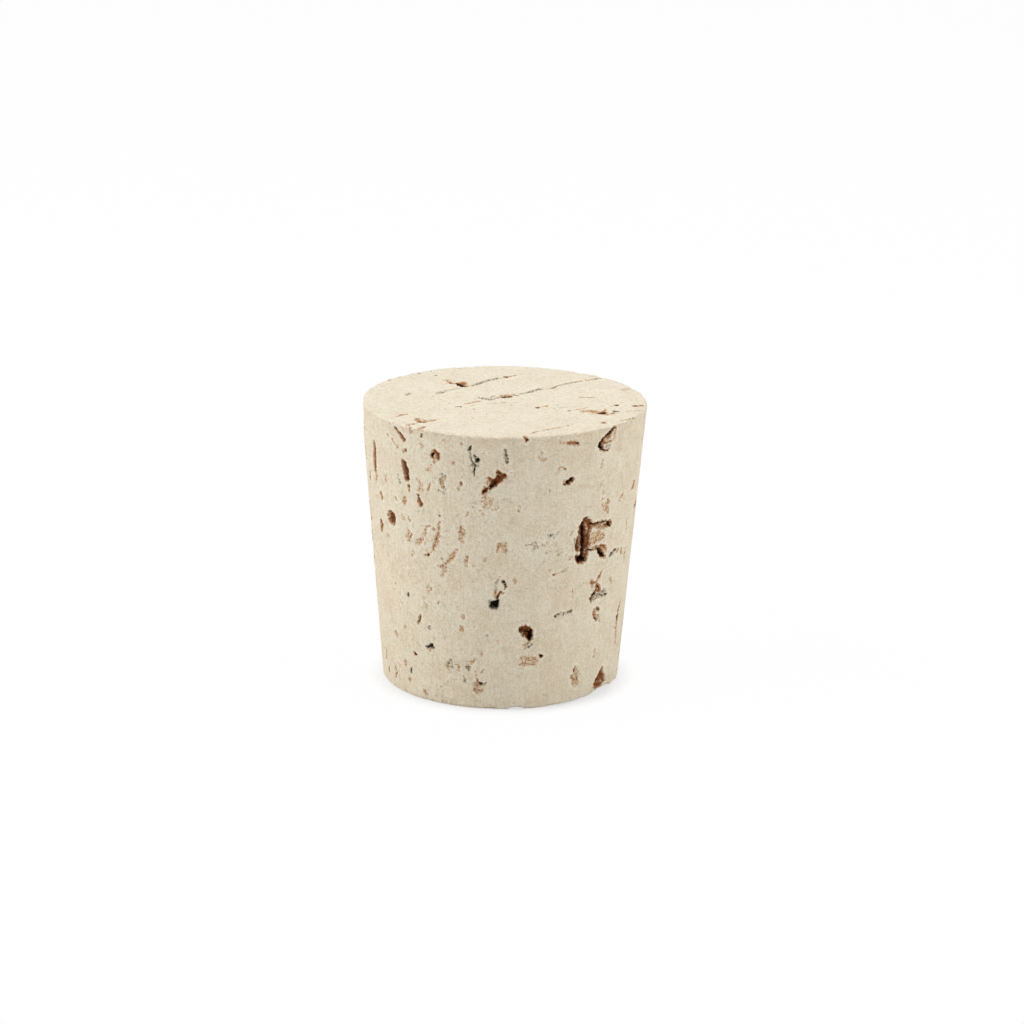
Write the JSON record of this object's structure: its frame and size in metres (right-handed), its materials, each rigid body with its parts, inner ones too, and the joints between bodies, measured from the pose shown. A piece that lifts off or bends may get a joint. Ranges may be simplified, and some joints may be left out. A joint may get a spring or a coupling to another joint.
{
  "type": "tapered cork stopper",
  "caption": "Solid tapered stopper of natural cork that seals a round bottle or flask neck by friction.",
  "frame": {"origin": "centre of the flat narrow end (the foot), on which the stopper stands", "axes": "+Z along the stopper's axis from the narrow foot to the wide head; -Y is the front that the picture shows; +X is to the right of that front"},
  "size_m": [0.038, 0.038, 0.0381],
  "materials": {
    "cork": "matt natural cork, cream to light tan, with red-brown and blackish pores"
  },
  "bodies": {
    "root": {"stopper": "cork"}
  },
  "joints": []
}
